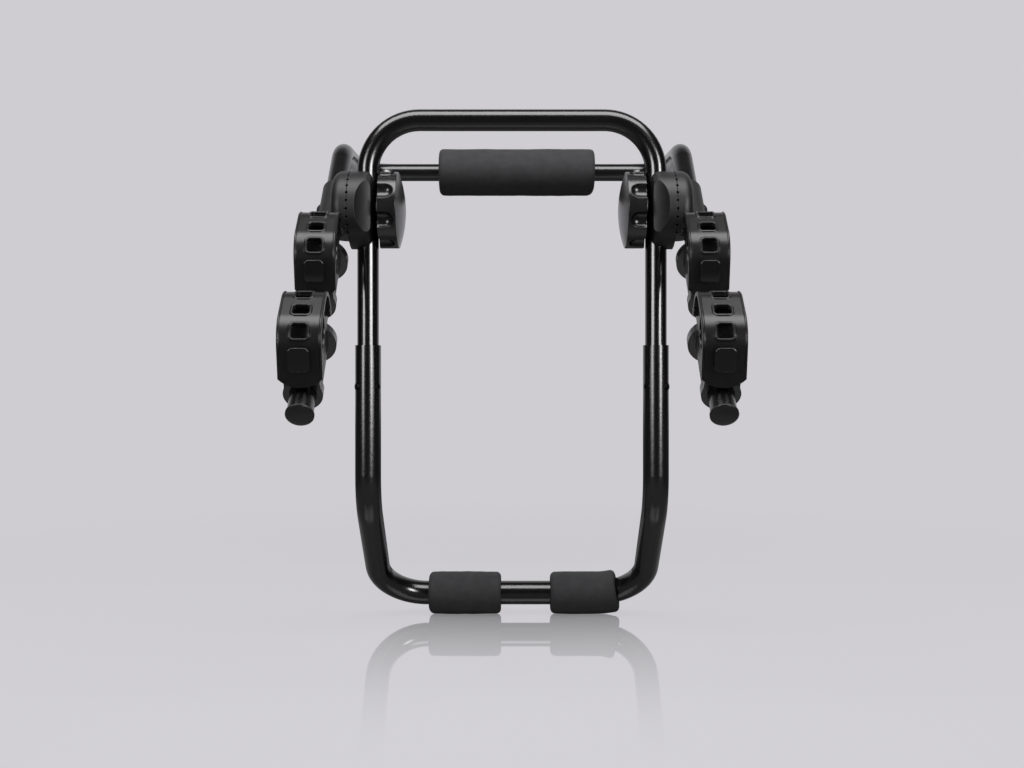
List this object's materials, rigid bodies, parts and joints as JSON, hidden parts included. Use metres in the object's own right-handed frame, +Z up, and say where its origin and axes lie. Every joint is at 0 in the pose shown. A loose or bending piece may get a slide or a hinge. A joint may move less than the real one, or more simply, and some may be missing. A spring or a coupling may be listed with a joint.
{
  "type": "bike rack",
  "caption": "Trunk mounted bike rack: bent tube hoop frame with swinging arms on ratchet hubs, foam rests and strapped cradles for bicycle tubes.",
  "frame": {"origin": "on the axis of the lower bar, midway between the legs", "axes": "+X to the right as seen from behind the car, +Y towards the car, +Z up"},
  "size_m": [0.464, 0.6583, 0.642],
  "materials": {
    "hoop_enamel": "gloss",
    "arm_enamel": "gloss",
    "bushing_plastic": "matte",
    "pad_foam": "matte",
    "hub_plastic": "satin",
    "zinc_steel": "satin",
    "button_steel": "satin",
    "knob_plastic": "satin",
    "insert_brass": "satin",
    "plug_plastic": "satin",
    "cradle_plastic": "satin",
    "strap_rubber": "matte"
  },
  "bodies": {
    "main_frame": {"lower_hoop": "hoop_enamel", "upper_hoop": "hoop_enamel", "sleeve_bushings": "bushing_plastic", "lower_pad_left": "pad_foam", "lower_pad_right": "pad_foam", "hub_inner_left": "hub_plastic", "hub_inner_right": "hub_plastic", "pivot_washers": "zinc_steel"},
    "arm_frame": {"arm_tube": "arm_enamel", "foam_roll": "pad_foam", "hub_outer_left": "hub_plastic", "hub_outer_right": "hub_plastic", "pivot_bolt_left": "zinc_steel", "pivot_bolt_right": "zinc_steel", "end_plug_left": "plug_plastic", "end_plug_right": "plug_plastic", "cradle_front_left": "cradle_plastic", "cradle_front_right": "cradle_plastic", "cradle_rear_left": "cradle_plastic", "cradle_rear_right": "cradle_plastic", "strap_pins": "zinc_steel"},
    "knob_left": {"knob_left": "knob_plastic", "knob_insert_left": "insert_brass"},
    "knob_right": {"knob_right": "knob_plastic", "knob_insert_right": "insert_brass"},
    "snap_button_left_outer": {"snap_button_left_outer": "button_steel"},
    "snap_button_left_inner": {"snap_button_left_inner": "button_steel"},
    "snap_button_right_outer": {"snap_button_right_outer": "button_steel"},
    "snap_button_right_inner": {"snap_button_right_inner": "button_steel"},
    "strap_front_left": {"strap_front_left": "strap_rubber"},
    "strap_front_right": {"strap_front_right": "strap_rubber"},
    "strap_rear_left": {"strap_rear_left": "strap_rubber"},
    "strap_rear_right": {"strap_rear_right": "strap_rubber"}
  },
  "joints": [
    {"name": "arm_pivot", "type": "hinge", "parent": "main_frame", "child": "arm_frame", "pos_m": [0, -0.135, 0.47], "axis": [-1, 0, 0], "range_deg": [-34, 60]},
    {"name": "knob_left_turn", "type": "hinge", "parent": "main_frame", "child": "knob_left", "pos_m": [-0.138, -0.135, 0.47], "axis": [1, 0, 0], "continuous": true},
    {"name": "knob_right_turn", "type": "hinge", "parent": "main_frame", "child": "knob_right", "pos_m": [0.138, -0.135, 0.47], "axis": [1, 0, 0], "continuous": true},
    {"name": "snap_left_outer_press", "type": "slide", "parent": "main_frame", "child": "snap_button_left_outer", "axis": [0.788, 0.6157, 0], "range_m": [0, 0.0035], "stiffness_N_per_m": 800},
    {"name": "snap_left_inner_press", "type": "slide", "parent": "main_frame", "child": "snap_button_left_inner", "axis": [-0.788, 0.6157, 0], "range_m": [0, 0.0035], "stiffness_N_per_m": 800},
    {"name": "snap_right_outer_press", "type": "slide", "parent": "main_frame", "child": "snap_button_right_outer", "axis": [-0.788, 0.6157, 0], "range_m": [0, 0.0035], "stiffness_N_per_m": 800},
    {"name": "snap_right_inner_press", "type": "slide", "parent": "main_frame", "child": "snap_button_right_inner", "axis": [0.788, 0.6157, 0], "range_m": [0, 0.0035], "stiffness_N_per_m": 800},
    {"name": "strap_front_left_open", "type": "hinge", "parent": "arm_frame", "child": "strap_front_left", "pos_m": [-0.2006, -0.32768, 0.3406], "axis": [-0.9993, -0.0384, 0], "range_deg": [0, 110], "deforming": ["strap_front_left"]},
    {"name": "strap_front_right_open", "type": "hinge", "parent": "arm_frame", "child": "strap_front_right", "pos_m": [0.2006, -0.32768, 0.3406], "axis": [-0.9993, 0.0384, 0], "range_deg": [0, 110], "deforming": ["strap_front_right"]},
    {"name": "strap_rear_left_open", "type": "hinge", "parent": "arm_frame", "child": "strap_rear_left", "pos_m": [-0.20458, -0.22411, 0.43322], "axis": [-0.9993, -0.0384, 0], "range_deg": [0, 110], "deforming": ["strap_rear_left"]},
    {"name": "strap_rear_right_open", "type": "hinge", "parent": "arm_frame", "child": "strap_rear_right", "pos_m": [0.20458, -0.22411, 0.43322], "axis": [-0.9993, 0.0384, 0], "range_deg": [0, 110], "deforming": ["strap_rear_right"]}
  ]
}
